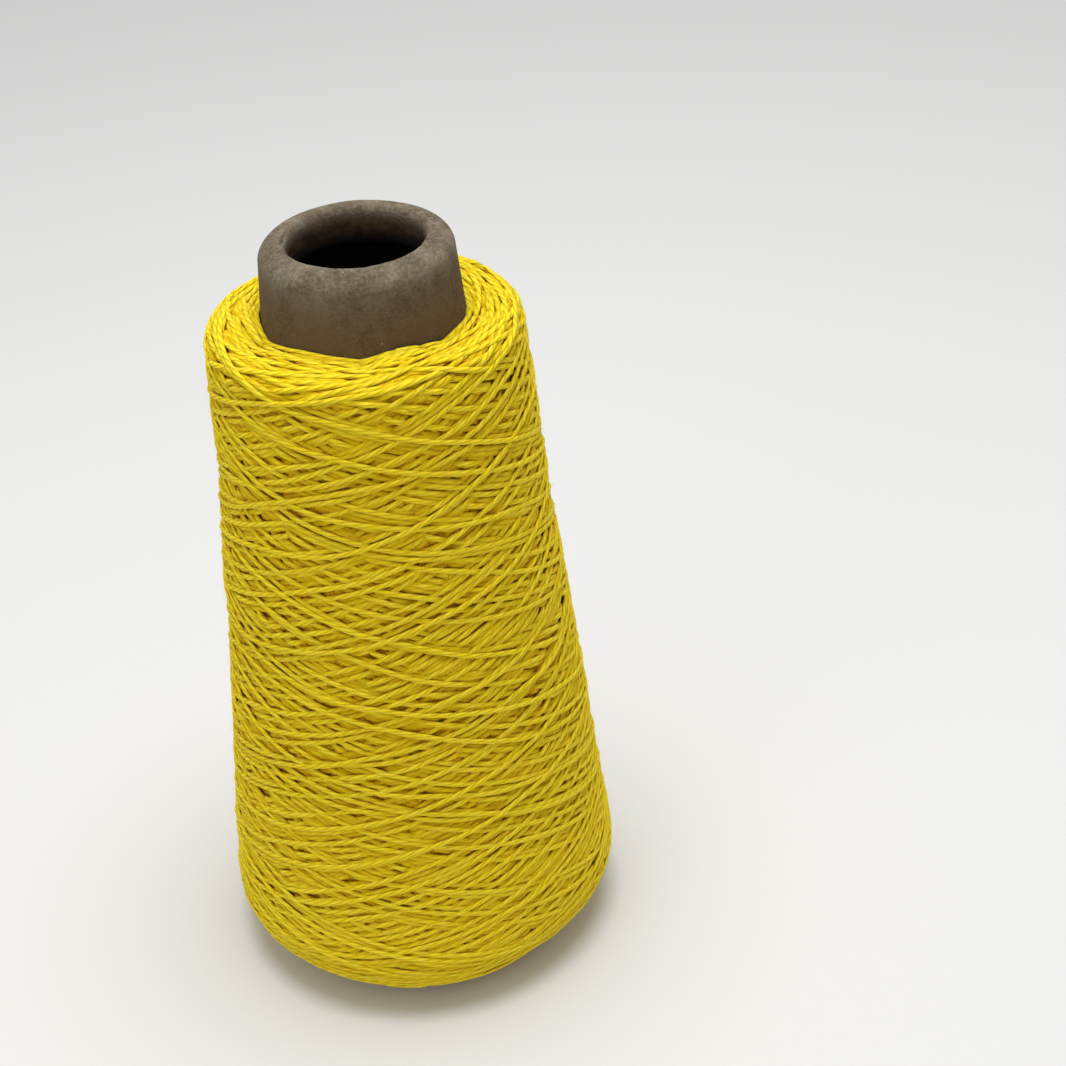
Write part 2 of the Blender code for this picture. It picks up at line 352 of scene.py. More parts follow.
def paper_material():
    material, tree, shader = new_material("wound_paper")
    place = add_node(tree, "ShaderNodeTexCoord").outputs["Object"]
    clouds = patches(tree, place, *PAPER_CLOUDS)
    mottle = patches(tree, place, *PAPER_MOTTLE)
    pits = patches(tree, place, *PAPER_PITS)
    grain = noise(tree, place, *PAPER_GRAIN)
    radius = from_axis(tree, place)
    from_top = maths(tree, "SUBTRACT", CONE_HEIGHT, height_of(tree, place))
    layers = [
        (mottle, 0.70, PAPER_DARK),
        (clouds, 0.40, PAPER_PALE),
        (pits, 0.36, PAPER_PALE),
        (fade(tree, grain, 0.35, 0.9), 0.50, PAPER_PALE),
    ]
    colour = layered(tree, PAPER_COLOUR, layers)
    # Near the yarn it is painted warmer: partly a stain, partly painted bounce light from the yellow yarn.
    stain_and_bounce = fade(tree, from_top, CONE_HEIGHT - STAIN_AND_BOUNCE_TOP, CONE_HEIGHT - STAIN_AND_BOUNCE_BOTTOM)
    stain_and_bounce = times(tree, stain_and_bounce, maths(tree, "ADD", times(tree, clouds, 0.5), 0.15))
    colour = colour_mix(tree, stain_and_bounce, colour, PAPER_STAIN_AND_BOUNCE)
    # The rolled nose is painted paler and greyer towards its top, down to the pits in the paper: partly
    # handling wear, partly painted sheen from the light above.
    scuffs = maths(tree, "ADD", times(tree, pits, 0.5), times(tree, clouds, 0.5))
    worn_and_sheen = colour_mix(tree, scuffs, PAPER_WORN_AND_SHEEN_DARK, PAPER_WORN_AND_SHEEN)
    wear_and_sheen = fade(tree, from_top, WEAR_AND_SHEEN_HEIGHT, 0.0)
    wear_and_sheen = times(tree, wear_and_sheen, maths(tree, "ADD", times(tree, mottle, -0.35), 1.0))
    colour = colour_mix(tree, wear_and_sheen, colour, worn_and_sheen)
    for fleck_colour, scale, size in ((PAPER_FLECK_DARK, 330, 0.09), (PAPER_FLECK_PALE, 290, 0.07)):
        colour = layered(tree, colour, [(flecks(tree, place, scale, size), 0.6, fleck_colour)])
    # Inside the mouth the paper is painted dark, as painted shade, and the bore's narrow end is painted
    # darker still.
    inwards = fade(tree, maths(tree, "SUBTRACT", NOSE_RADIUS, radius), *MOUTH_DARK_FROM_SIDE)
    in_mouth = times(tree, inwards, fade(tree, from_top, *MOUTH_DARK_FROM_TOP))
    colour = colour_mix(tree, in_mouth, colour, colour_mix(tree, mottle, PAPER_INSIDE_DEEP_SHADE, PAPER_INSIDE_SHADE))
    # The radius with the taper taken out tells the inner wall from the outer.
    even_radius = maths(tree, "SUBTRACT", radius, times(tree, from_top, math.tan(CONE_TAPER)))
    in_bore = maths(tree, "LESS_THAN", even_radius, NOSE_RADIUS - HALF_WALL)
    in_bore = times(tree, in_bore, fade(tree, from_top, *BORE_DARK_FROM_TOP))
    paler = fade(tree, from_top, *BORE_PALER_FROM_TOP)
    bore_colour = colour_mix(tree, paler, PAPER_BORE_SHADE, PAPER_INSIDE_SHADE)
    colour = colour_mix(tree, in_bore, colour, bore_colour)
    # Painted shade: the crease is painted dark.
    colour = layered(tree, colour, [(marked(tree, "crease"), 0.9, PAPER_DARK)])
    tree.links.new(colour, shader.inputs["Base Color"])
    shader.inputs["Roughness"].default_value = 0.9
    shader.inputs["Specular IOR Level"].default_value = 0.2
    relief = maths(tree, "ADD", grain, times(tree, pits, 0.8))
    add_bump(tree, shader, relief, 0.45, 0.2 * MM)
    return material


paper_cone.data.materials.append(paper_material())
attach(paper_cone, "root")
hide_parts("paper_cone")

# ---- Inner yarn ---------------------------------------------------------------------------------
# Hundreds of turns lie packed tight on the paper below those that show. They are one closed body, a
# little inside the package's outline, which runs from the paper over the top face, down the side and
# round the lower shoulder. The package is uneven where turns bunch.
PAPER_GAP = 0.1 * MM
YARN_BOTTOM = 2.5 * MM
YARN_TOP = 153.7 * MM
TOP_RADIUS = 32.7 * MM
BOTTOM_RADIUS = 43.8 * MM
TOP_SHOULDER = 4.9 * MM
BOTTOM_SHOULDER = 13.3 * MM
WAIST = 0.6 * MM
BOW = 0.5 * MM
OUTLINE_STEP = 0.25 * MM
SWELL_FADE = 3 * MM  # from the paper
RISE_FADE = 0.25  # of the way from level to upright, over which the top face's rise fades in
SWELLS = (
    # azimuth_deg, height_mm, azimuth_spread_deg, height_spread_mm, out_mm
    (88, 20, 30, 12, 0.45),
    (88, 60, 40, 14, 0.25),
    (95, 108, 45, 12, -0.45),
    (42, 6, 22, 10, -0.65),
    (-5, 6, 22, 8, 0.40),
    (-84, 19, 25, 8, -0.45),
    (-92, 84, 45, 8, -0.40),
    (-86, 100, 45, 7, 0.25),
    (-90, 122, 40, 8, -0.35),
    (-86, 141, 35, 6, 0.30),
    (-110, 151, 30, 8, 0.35),
    (170, 70, 45, 20, 0.35),
    (150, 125, 40, 15, -0.30),
)
TOP_BUNCHES = (
    # azimuth_deg, spread_deg, rise_mm
    (-90, 20, 1.8),
    (-32, 22, 1.2),
    (3, 10, -0.5),
    (60, 30, -1.3),
    (130, 30, 0.6),
    (-150, 25, -0.6),
    (-68, 9, -0.8),
    (-5, 4, -0.3),
    (14, 15, 1.7),
    (33, 13, 0.7),
    (59, 13, 1.0),
)


def package_outline():
    """Evenly spaced points: distance along the outline, radius, height, and the way out of it."""
    top_flat = TOP_RADIUS - TOP_SHOULDER
    side_top = YARN_TOP - TOP_SHOULDER
    side_bottom = YARN_BOTTOM + BOTTOM_SHOULDER
    shoulder_centre = BOTTOM_RADIUS - BOTTOM_SHOULDER
    points = [(paper_radius(YARN_TOP) + PAPER_GAP, YARN_TOP)]
    points += arc((top_flat, side_top), (TOP_SHOULDER, TOP_SHOULDER), 90, 0, 24)
    for down in np.linspace(0, 1, 60)[1:-1]:
        radius = TOP_RADIUS + (BOTTOM_RADIUS - TOP_RADIUS) * down - WAIST * 4 * down * (1 - down)
        points.append((radius, side_top + (side_bottom - side_top) * down))
    to_paper = (paper_radius(YARN_BOTTOM) + PAPER_GAP - shoulder_centre) / BOTTOM_SHOULDER
    end_deg = -math.degrees(math.acos(to_paper))
    points += arc((shoulder_centre, side_bottom), (BOTTOM_SHOULDER, BOTTOM_SHOULDER), 0, end_deg, 48)
    points = np.array(points)
    lengths = np.concatenate([[0], np.cumsum(np.hypot(*np.diff(points, axis=0).T))])
    along = np.linspace(0, lengths[-1], round(lengths[-1] / OUTLINE_STEP) + 1)
    radius = np.interp(along, lengths, points[:, 0])
    height = np.interp(along, lengths, points[:, 1])
    slope_out, slope_up = np.gradient(radius, along), np.gradient(height, along)
    size = np.hypot(slope_out, slope_up)
    return along, radius, height, -slope_up / size, slope_out / size


outline_along, outline_radius, outline_height, outward_side, outward_up = package_outline()
OUTLINE_LENGTH = outline_along[-1]
along_cells = len(outline_along)


def on_outline(along, values):
    return np.interp(along, outline_along, values)


def bell(distance, spread):
    return np.exp(-((distance / spread) ** 2))


def degrees_apart(azimuth_deg, other_deg):
    return (azimuth_deg - other_deg + 180) % 360 - 180


def swell_at(azimuth, radius, height):
    """How far the yarn stands out of its even outline at these azimuths and heights."""
    azimuth_deg = np.degrees(azimuth)
    up = (height - YARN_BOTTOM) / (YARN_TOP - YARN_BOTTOM)
    out = BOW * 4 * up * (1 - up) * np.sin(azimuth)
    for centre_deg, centre_mm, spread_deg, spread_mm, out_mm in SWELLS:
        around = bell(degrees_apart(azimuth_deg, centre_deg), spread_deg)
        out = out + out_mm * MM * around * bell(height / MM - centre_mm, spread_mm)
    off_paper = np.clip((radius - paper_radius(height)) / SWELL_FADE, 0, 1)
    return out * off_paper


def top_rise(azimuth, radius, upwards):
    """How far the top face is bunched up, most of all at the paper."""
    azimuth_deg = np.degrees(azimuth)
    inner = paper_radius(YARN_TOP)
    towards_rim = np.clip((radius - inner) / (TOP_RADIUS - inner), 0, 1)
    rise = np.zeros_like(azimuth)
    for centre_deg, spread_deg, rise_mm in TOP_BUNCHES:
        rise += rise_mm * MM * bell(degrees_apart(azimuth_deg, centre_deg), spread_deg)
    return rise * (1 - towards_rim) * np.clip(upwards / RISE_FADE, 0, 1)


INNER_DEPTH = 1.8 * MM  # a little deeper than the deepest gap between the turns
INNER_EDGE = 0.5 * MM  # from the paper
INNER_SIDES = 120
INNER_STEP = 2.5 * MM


def inner_outline():
    """The package's outline drawn in by the depth, closed along the paper."""
    count = round(OUTLINE_LENGTH / INNER_STEP)
    points = []
    for distance in np.linspace(INNER_EDGE, OUTLINE_LENGTH - INNER_EDGE, count):
        radius = on_outline(distance, outline_radius) - INNER_DEPTH * on_outline(distance, outward_side)
        height = on_outline(distance, outline_height) - INNER_DEPTH * on_outline(distance, outward_up)
        points.append((max(radius, paper_radius(height) + 2 * PAPER_GAP), height))
    lowest, highest = points[-1][1], points[0][1]
    for height in np.linspace(lowest, highest, 8)[1:-1]:
        points.append((paper_radius(height) + PAPER_GAP, height))
    return points


inner_yarn = turn_ring("inner_yarn", inner_outline(), INNER_SIDES)
inner_points = np.empty(len(inner_yarn.data.vertices) * 3)
inner_yarn.data.vertices.foreach_get("co", inner_points)
inner_points = inner_points.reshape(-1, 3)
inner_azimuth = np.arctan2(inner_points[:, 0], -inner_points[:, 1])
inner_radius = np.hypot(inner_points[:, 0], inner_points[:, 1])
swollen_radius = inner_radius + swell_at(inner_azimuth, inner_radius, inner_points[:, 2])
inner_points[:, :2] *= (swollen_radius / inner_radius)[:, None]
near_top = np.clip((inner_points[:, 2] - YARN_TOP) / TOP_SHOULDER + 1, 0, 1)
inner_points[:, 2] += top_rise(inner_azimuth, inner_radius, near_top)
inner_yarn.data.vertices.foreach_set("co", inner_points.ravel())
inner_yarn.data.update()

# The yarn's colours in painted shade and in deeper painted shade.
YARN_SHADE = (0.665, 0.455, 0.002, 1.0)
YARN_DEEP_SHADE = (0.58, 0.290, 0.001, 1.0)
GROOVE_SCALE = 130.0


def inner_yarn_material():
    material, tree, shader = new_material("packed_yarn")
    place = add_node(tree, "ShaderNodeTexCoord").outputs["Object"]
    waves = {"Vector": place, "Scale": GROOVE_SCALE, "Distortion": 2.0}
    grooves = add_node(tree, "ShaderNodeTexWave", waves, bands_direction="Z").outputs["Fac"]
    # Painted shade: the packed yarn shows only deep in the gaps between the turns, and is painted in the
    # yarn's shade colours.
    tree.links.new(colour_mix(tree, grooves, YARN_DEEP_SHADE, YARN_SHADE), shader.inputs["Base Color"])
    shader.inputs["Roughness"].default_value = 0.9
    add_bump(tree, shader, grooves, 0.6, 0.5 * MM)
    return material


inner_yarn.data.materials.append(inner_yarn_material())
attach(inner_yarn, "root")
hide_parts("yarn_package")

# ---- Yarn turns ---------------------------------------------------------------------------------
# The turns that show are a soft plied cotton yarn of about 1.1 mm. A winder runs it up and down the
# package while that turns, so each turn crosses those below. Here it is laid in the same way: every
# strand is pulled taut over a map of how high the yarn lies.
STRAND_HALF_WIDTH = 0.525 * MM
STRAND_HALF_HEIGHT = 0.42 * MM
STRAND_STEP = 0.18 * MM
CARRYING_WIDTH = 0.94  # as a share; a strand's very edges are too thin to carry another
SLIP_PLACES = 5  # across a strand, where it feels what is below
REST_PLACES = 7
TOP_PLACES = 9
AZIMUTH_CELLS = 720
MEAN_RADIUS = 38 * MM
EDGE = 0.42 * MM  # how near the paper the middle of a strand may lie
FIRST_TURN = 1.2 * MM  # along the outline from the paper, where the traverses turn round at first
TOP_TURN_SPREAD = 10.0 * MM
BOTTOM_TURN_SPREAD = 14.0 * MM
TOP_EASE_DEG = (55, 110)  # over which a traverse slows down before it turns round
BOTTOM_EASE_DEG = (65, 120)
SLIDE = 0.5 * MM  # how far a strand slips sideways into a groove
SLIDE_TRIES = 7
SLIDE_DRAG = 0.08 * MM  # what a full slide has to save in height
SLIDE_FADE = 15 * MM  # from a strand's ends, which don't slip
GROOVE_POINTS = 61  # over which a groove's depth is judged
SLIP_POINTS = 121  # over which a strand slips in or out
LIFT_POINTS = 7  # over which a strand's height is smoothed
JOIN_POINTS = 12  # over which a strand is free to leave the end of the one before
LEAST_CURVE = 11  # in a metre, for a strand that runs straight along the package
WINDING_SEED = 11
LEVEL_TURNS = 8  # wound on the paper at each end before the traverses
LEVEL_SPREAD = 3.5 * MM
LEVEL_PRESS = 0.25 * MM
LEVEL_POINTS = 120  # in a turn
CROSSING_TURNS = 2.2  # from the level turns at the bottom to those at the top
LEVEL_WAVES = (
    # waves in each turn, sway_mm
    (0.77, 0.25),
    (1.71, 0.30),
    (3.13, 0.14),
)
LAYERS = (
    # traverses, turns_in_each, drift_mm, meander_mm, press_mm
    (32, 2.5639, 2.0, 0.6, 0.47),
    (32, 2.1441, 2.0, 0.6, 0.47),
    (90, 1.8896, 2.2, 0.7, 0.47),
    (128, 2.1119, 1.8, 0.8, 0.46),
    (10, 2.5300, 30.0, 1.3, 0.40),
)
TOP_TURN_SHARES = (0.15, 1.15)
TOP_TURN_SHIFTS_MM = (-0.6, 1.6)
BOTTOM_TURN_SHARES = (0.55, 1.15)
BOTTOM_TURN_SHIFTS_MM = (0, 2)
MEANDER_SIZES = (1.0, 0.7, 0.5)
MEANDER_LENGTHS = (80 * MM, 190 * MM)
MEANDER_FADE = 0.25  # of a traverse, at each of its ends
PRESS_EVERY = 4  # traverses
PRESSED_SHARE = 0.8
LAST_PRESSED_SHARE = 0.3
PILE_BLUR = (15, 20)  # cells round the package and along it
BUNCH_BLUR = (5, 6)
BARE = -9 * MM

chance = np.random.default_rng(WINDING_SEED)
wound_height = np.zeros(AZIMUTH_CELLS * along_cells)
laid_strands = []  # azimuth, along and lift of each


def map_cells(azimuth, along):
    around = np.floor(azimuth / math.tau * AZIMUTH_CELLS).astype(np.int64) % AZIMUTH_CELLS
    down = np.clip(np.round(along / OUTLINE_STEP).astype(np.int64), 0, along_cells - 1)
    return around * along_cells + down


def across_strand(count):
    """Places across a strand, each with the height of its top above its middle there."""
    across = np.linspace(-CARRYING_WIDTH, CARRYING_WIDTH, count)
    return list(zip(across * STRAND_HALF_WIDTH, STRAND_HALF_HEIGHT * np.sqrt(1 - across**2)))


def even_steps(azimuth, along):
    """The same path, with a point every STRAND_STEP."""
    radius = on_outline(along, outline_radius)
    steps = np.hypot(np.diff(azimuth) * (radius[1:] + radius[:-1]) / 2, np.diff(along))
    length = np.concatenate([[0], np.cumsum(steps)])
    wanted = np.arange(0, length[-1], STRAND_STEP)
    return np.interp(wanted, length, azimuth), np.interp(wanted, length, along)


def beside(azimuth, along):
    """What a step of one metre to the side of the path adds to its azimuth and to its along."""
    radius = on_outline(along, outline_radius)
    around, down = np.gradient(azimuth) * radius, np.gradient(along)
    size = np.hypot(around, down)
    return -down / size / radius, around / size


def smoothed(values, width):
    kernel = np.hanning(width + 2)[1:-1]
    padded = np.concatenate([np.full(width, values[0]), values, np.full(width, values[-1])])
    return np.convolve(padded, kernel / kernel.sum(), "same")[width:-width]


def resting_height(azimuth, along, side_azimuth, side_along, places):
    """How high a strand's middle lies if it rests on what is below it."""
    rest = np.full(len(azimuth), BARE)
    for across, rise in places:
        cells = map_cells(azimuth + side_azimuth * across, along + side_along * across)
        rest = np.maximum(rest, wound_height[cells] + rise)
    return rest


def slipped(azimuth, along):
    """The path once it has slipped into the grooves beside it."""
    side_azimuth, side_along = beside(azimuth, along)
    shifts = np.linspace(-SLIDE, SLIDE, SLIDE_TRIES)
    heights = []
    for shift in shifts:
        places = [(across + shift, rise) for across, rise in across_strand(SLIP_PLACES)]
        rest = resting_height(azimuth, along, side_azimuth, side_along, places)
        heights.append(smoothed(rest, GROOVE_POINTS) + SLIDE_DRAG * abs(shift) / SLIDE)
    shift = smoothed(shifts[np.argmin(np.array(heights), axis=0)], SLIP_POINTS)
    count = np.arange(len(azimuth))
    from_end = np.minimum(count, count[::-1]) * STRAND_STEP
    shift *= np.clip(from_end / SLIDE_FADE, 0, 1)
    along = np.clip(along + side_along * shift, EDGE, OUTLINE_LENGTH - EDGE)
    return azimuth + side_azimuth * shift, along


def pulled_taut(rest, bend):
    """Heights of a strand pulled taut over these rests: from one rest to the next it runs straight."""
    drop = np.cumsum(np.cumsum(bend)) * STRAND_STEP**2
    level = (rest - drop).tolist()
    held = [0]
    for point in range(1, len(level)):
        while len(held) > 1:
            before, last = held[-2], held[-1]
            to_last = (level[last] - level[before]) * (point - before)
            to_point = (level[point] - level[before]) * (last - before)
            if to_last > to_point:
                break
            held.pop()
        held.append(point)
    return np.interp(np.arange(len(level)), held, [level[point] for point in held]) + drop


def lay_strand(azimuth, along, press):
    """Lays one stretch of yarn, joined to the end of the one before."""
    azimuth, along = slipped(*even_steps(azimuth, along))
    side_azimuth, side_along = beside(azimuth, along)
    rest = resting_height(azimuth, along, side_azimuth, side_along, across_strand(REST_PLACES)) - press
    if laid_strands:
        rest[:JOIN_POINTS] = BARE
        rest[0] = laid_strands[-1][2][-1]
    curve = side_along**2 * on_outline(along, outward_side) / on_outline(along, outline_radius)
    lift = smoothed(pulled_taut(rest, np.maximum(curve, LEAST_CURVE)), LIFT_POINTS)
    for across, rise in across_strand(TOP_PLACES):
        cells = map_cells(azimuth + side_azimuth * across, along + side_along * across)
        np.maximum.at(wound_height, cells, lift + rise)
    laid_strands.append((azimuth, along, lift))


def blurred(heights, azimuth_spread, along_spread):
    """The map blurred by so many cells, round the package and along it."""
    waves = np.fft.rfftfreq(AZIMUTH_CELLS) * math.tau * azimuth_spread
    spectrum = np.fft.rfft(heights, axis=0) * np.exp(-0.5 * waves**2)[:, None]
    around = np.fft.irfft(spectrum, AZIMUTH_CELLS, axis=0)
    mirrored = np.concatenate([around[:, ::-1], around, around[:, ::-1]], axis=1)
    waves = np.fft.rfftfreq(mirrored.shape[1]) * math.tau * along_spread
    spectrum = np.fft.rfft(mirrored, axis=1) * np.exp(-0.5 * waves**2)
    return np.fft.irfft(spectrum, mirrored.shape[1], axis=1)[:, along_cells : 2 * along_cells]


def press_even(share):
    """The yarn gives where it piles up, and by this share where it bunches, so the package stays even."""
    heights = wound_height.reshape(AZIMUTH_CELLS, along_cells)
    pile = blurred(heights, *PILE_BLUR)
    pile += share * blurred(heights - pile, *BUNCH_BLUR)
    wound_height[:] -= pile.ravel()
    for number, (azimuth, along, lift) in enumerate(laid_strands):
        laid_strands[number] = (azimuth, along, lift - pile.ravel()[map_cells(azimuth, along)])


def lay_level_turns(azimuth_now, start, end, turns):
    """Turns side by side, from one place along the outline to another."""
    share = np.linspace(0, 1, round(turns * LEVEL_POINTS))
    azimuth = azimuth_now + share * turns * math.tau
    along = start + (end - start) * share
    for wave, sway_mm in LEVEL_WAVES:
        sway = sway_mm * MM * (0.3 + 0.7 * share)
        along = along + sway * np.sin(azimuth * wave + chance.uniform(0, math.tau))
    # Where a turn meets the paper it is turned back.
    along = EDGE + abs(along - EDGE)
    along = OUTLINE_LENGTH - EDGE - abs(OUTLINE_LENGTH - EDGE - along)
    lay_strand(azimuth, along, LEVEL_PRESS)
    return azimuth[-1]


azimuth_now = lay_level_turns(0.0, OUTLINE_LENGTH - EDGE, OUTLINE_LENGTH - LEVEL_SPREAD, LEVEL_TURNS)
azimuth_now = lay_level_turns(azimuth_now, OUTLINE_LENGTH - LEVEL_SPREAD, EDGE, CROSSING_TURNS)
azimuth_now = lay_level_turns(azimuth_now, EDGE, LEVEL_SPREAD, LEVEL_TURNS)
press_even(PRESSED_SHARE)

traverses = sum(layer[0] for layer in LAYERS)
pairs = traverses // 2 + 2
top_turns = [
    FIRST_TURN
    + TOP_TURN_SPREAD * 2 * pair / traverses * chance.uniform(*TOP_TURN_SHARES)
    + chance.uniform(*TOP_TURN_SHIFTS_MM) * MM
    for pair in range(pairs)
]
top_turns[0] = LEVEL_SPREAD
bottom_turns = [
    OUTLINE_LENGTH
    - (FIRST_TURN + BOTTOM_TURN_SPREAD * 2 * pair / traverses * chance.uniform(*BOTTOM_TURN_SHARES))
    - chance.uniform(*BOTTOM_TURN_SHIFTS_MM) * MM
    for pair in range(pairs)
]
traverse = 0
for count, turns, drift_mm, meander_mm, press_mm in LAYERS:
    for _ in range(count):
        downwards = traverse % 2 == 0
        top, bottom = top_turns[(traverse + 1) // 2], bottom_turns[traverse // 2]
        span = turns * math.tau + chance.normal(0, drift_mm) * MM / MEAN_RADIUS
        share = np.linspace(0, 1, int(span * MEAN_RADIUS / MM) + 1)
        top_ease = math.radians(chance.uniform(*TOP_EASE_DEG)) / span
        bottom_ease = math.radians(chance.uniform(*BOTTOM_EASE_DEG)) / span
        start_ease, end_ease = (top_ease, bottom_ease) if downwards else (bottom_ease, top_ease)
        speed = np.minimum(1, np.minimum(share / start_ease, (1 - share) / end_ease))
        run = np.concatenate([[0], np.cumsum((speed[1:] + speed[:-1]) / 2)])
        run /= run[-1]
        along = top + (bottom - top) * (run if downwards else 1 - run)
        azimuth = azimuth_now + share * span
        meander = 0
        for size in MEANDER_SIZES:
            wave = chance.uniform(*MEANDER_LENGTHS)
            phase = chance.uniform(0, math.tau)
            sway = np.sin(azimuth * MEAN_RADIUS * math.tau / wave + phase)
            meander = meander + size * meander_mm * MM * sway
        along = along + meander * np.clip(np.minimum(run, 1 - run) / MEANDER_FADE, 0, 1)
        lay_strand(azimuth, along, press_mm * MM)
        azimuth_now += span
        traverse += 1
        if traverse % PRESS_EVERY == 0:
            press_even(PRESSED_SHARE)
press_even(LAST_PRESSED_SHARE)

# The yarn's last end is tucked under.
TUCK_LENGTH = 9 * MM
TUCK_DEPTH = 1.3 * MM
azimuth, along, lift = laid_strands[-1]
from_end = np.arange(len(lift))[::-1] * STRAND_STEP
tuck = TUCK_DEPTH * np.clip(1 - from_end / TUCK_LENGTH, 0, 1) ** 2
laid_strands[-1] = (azimuth, along, lift - tuck)


def on_package(azimuth, along, lift):
    """Points at these azimuths and distances along the outline, lifted this far out of it."""
    radius, height = on_outline(along, outline_radius), on_outline(along, outline_height)
    sideways, upwards = on_outline(along, outward_side), on_outline(along, outward_up)
    out = lift + swell_at(azimuth, radius, height)
    reach = radius + out * sideways
    level = height + out * upwards + top_rise(azimuth, radius, upwards)
    return np.stack([reach * np.sin(azimuth), -reach * np.cos(azimuth), level], axis=-1)


def way_out(azimuth, along):
    sideways, upwards = on_outline(along, outward_side), on_outline(along, outward_up)
    return np.stack([sideways * np.sin(azimuth), -sideways * np.cos(azimuth), upwards], axis=-1)


# Each turn dips under those that cross it. Its hidden stretches are left out, and the ends of what is
# seen lie buried.
SEEN_DEPTH = 0.15 * MM  # a strand this little below the top one still shows at its edge
BURIED_LENGTH = 1.5 * MM
BURIED_DIP = 0.35 * MM
RING_ANGLES = np.radians((-18, 36, 90, 144, 198))  # 90 is outwards, and the strand is flat below
STRAIGHT_WITHIN = 0.05 * MM
# From here down a strand's flanks are painted in shade, darker the deeper they lie.
DEEP_FROM = 0.30 * MM  # over the even package; a strand's flanks look darker from here down
DEEP_RANGE = 1.3 * MM
YARN_HALF_WIDTH = 0.565 * MM  # a strand spreads a little where nothing holds it together
PLY_PITCH = 12.5 * MM  # of the yarn's twist
PRESSED_WIDER = 0.32  # as a share of the width, for the deepest strands, which those above press flat
LONGEST_SEGMENT = 2.4 * MM
PACKAGE_LIFT = -0.65 * MM  # brings the proudest turns to the package's outline
FLATTENED = (
    # distance along the outline in mm, and the share of the unevenness that is left there
    (0, 0.60),
    (7, 0.65),
    (15, 0.95),
    (90, 0.95),
    (130, 0.85),
    (156, 0.68),
    (180, 0.60),
)
SUNK_BELOW = -0.3 * MM  # of the even package; turns below this are pushed outwards by those under them
SUNK_SHARE = 0.85
TURN_PIECES = 6


def flattened(along, lift):
    """The yarn is packed tightest and lies flattest where it turns round, near both ends."""
    distances, shares = np.array(FLATTENED).T
    flat = lift * np.interp(along, distances * MM, shares)
    return np.maximum(flat, SUNK_BELOW + SUNK_SHARE * (flat - SUNK_BELOW))


def seen_stretches(azimuth, along, lift):
    """First and last point of each stretch of a strand that shows."""
    side_azimuth, side_along = beside(azimuth, along)
    seen = np.zeros(len(azimuth), bool)
    for across, rise in across_strand(TOP_PLACES):
        cells = map_cells(azimuth + side_azimuth * across, along + side_along * across)
        seen |= lift + rise >= wound_height[cells] - SEEN_DEPTH
    reach = round(BURIED_LENGTH / STRAND_STEP)
    seen = np.convolve(seen, np.ones(2 * reach + 1), "same") > 0
    changes = np.flatnonzero(np.diff(np.concatenate([[False], seen, [False]]).astype(int)))
    return [(first, last) for first, last in zip(changes[::2], changes[1::2]) if last - first > 2 * reach]


def kept_points(points):
    """Numbers of the points that a strand needs to keep its course."""
    kept = [0]
    longest = round(LONGEST_SEGMENT / STRAND_STEP)
    start = 0
    last = len(points) - 1
    while start < last:
        end = min(start + longest, last)
        while end > start + 2:
            chord = points[end] - points[start]
            share = np.linspace(0, 1, end - start + 1)[:, None]
            off = np.linalg.norm(points[start : end + 1] - (points[start] + share * chord), axis=1)
            if off.max() <= STRAIGHT_WITHIN:
                break
            end -= 2
        kept.append(end)
        start = end
    return kept


def strand_rings(azimuth, along, lift, length_before):
    """Rings of points round one stretch, how far along the strand each is, and how deep each point lies."""
    points = on_package(azimuth, along, lift + PACKAGE_LIFT)
    outward = way_out(azimuth, along)
    kept = kept_points(points)
    length = length_before + np.array(kept) * STRAND_STEP
    points, outward, lift = points[kept], outward[kept], lift[kept]
    forward = np.gradient(points, axis=0)
    forward /= np.linalg.norm(forward, axis=1, keepdims=True)
    side = np.cross(forward, outward)
    side /= np.linalg.norm(side, axis=1, keepdims=True)
    outward = np.cross(side, forward)
    half_width = YARN_HALF_WIDTH * (1 + PRESSED_WIDER * np.clip((DEEP_FROM - lift) / DEEP_RANGE, 0, 1))
    across = np.cos(RING_ANGLES)[None, :, None] * side[:, None, :] * half_width[:, None, None]
    rise = np.sin(RING_ANGLES) * STRAND_HALF_HEIGHT
    upright = rise[None, :, None] * outward[:, None, :]
    depth = DEEP_FROM - (lift[:, None] + rise)
    return points[:, None, :] + across + upright, length, np.clip(depth / DEEP_RANGE, 0, 1)


def cell_corners(grid):
    """The four corners of each cell of a grid, in order round it."""
    return np.stack([grid[:-1, :-1], grid[:-1, 1:], grid[1:, 1:], grid[1:, :-1]], axis=2)


def tubes_mesh(name, tubes):
    """One mesh of closed tubes, each given as its rings of points."""
    corners, quads, ends = [], [], []
    start = 0
    for rings in tubes:
        count = rings.size // 3
        numbers = start + np.arange(count).reshape(rings.shape[:2])
        quads.append(cell_corners(np.append(numbers, numbers[:, :1], axis=1)).reshape(-1, 4))
        ends += [numbers[0, ::-1], numbers[-1]]
        corners.append(rings.reshape(-1, 3))
        start += count
    corners, quads, ends = np.concatenate(corners), np.concatenate(quads), np.array(ends)
    loops = np.concatenate([quads.ravel(), ends.ravel()])
    face_sizes = np.repeat([4, ends.shape[1]], [len(quads), len(ends)])
    face_starts = np.cumsum(face_sizes) - face_sizes
    mesh = bpy.data.meshes.new(name)
    mesh.vertices.add(len(corners))
    mesh.vertices.foreach_set("co", corners.astype(np.float32).ravel())
    mesh.loops.add(len(loops))
    mesh.loops.foreach_set("vertex_index", loops.astype(np.int32))
    mesh.polygons.add(len(face_sizes))
    mesh.polygons.foreach_set("loop_start", face_starts.astype(np.int32))
    mesh.polygons.foreach_set("loop_total", face_sizes.astype(np.int32))
    mesh.update(calc_edges=True)
    mesh.shade_smooth()
    return mesh


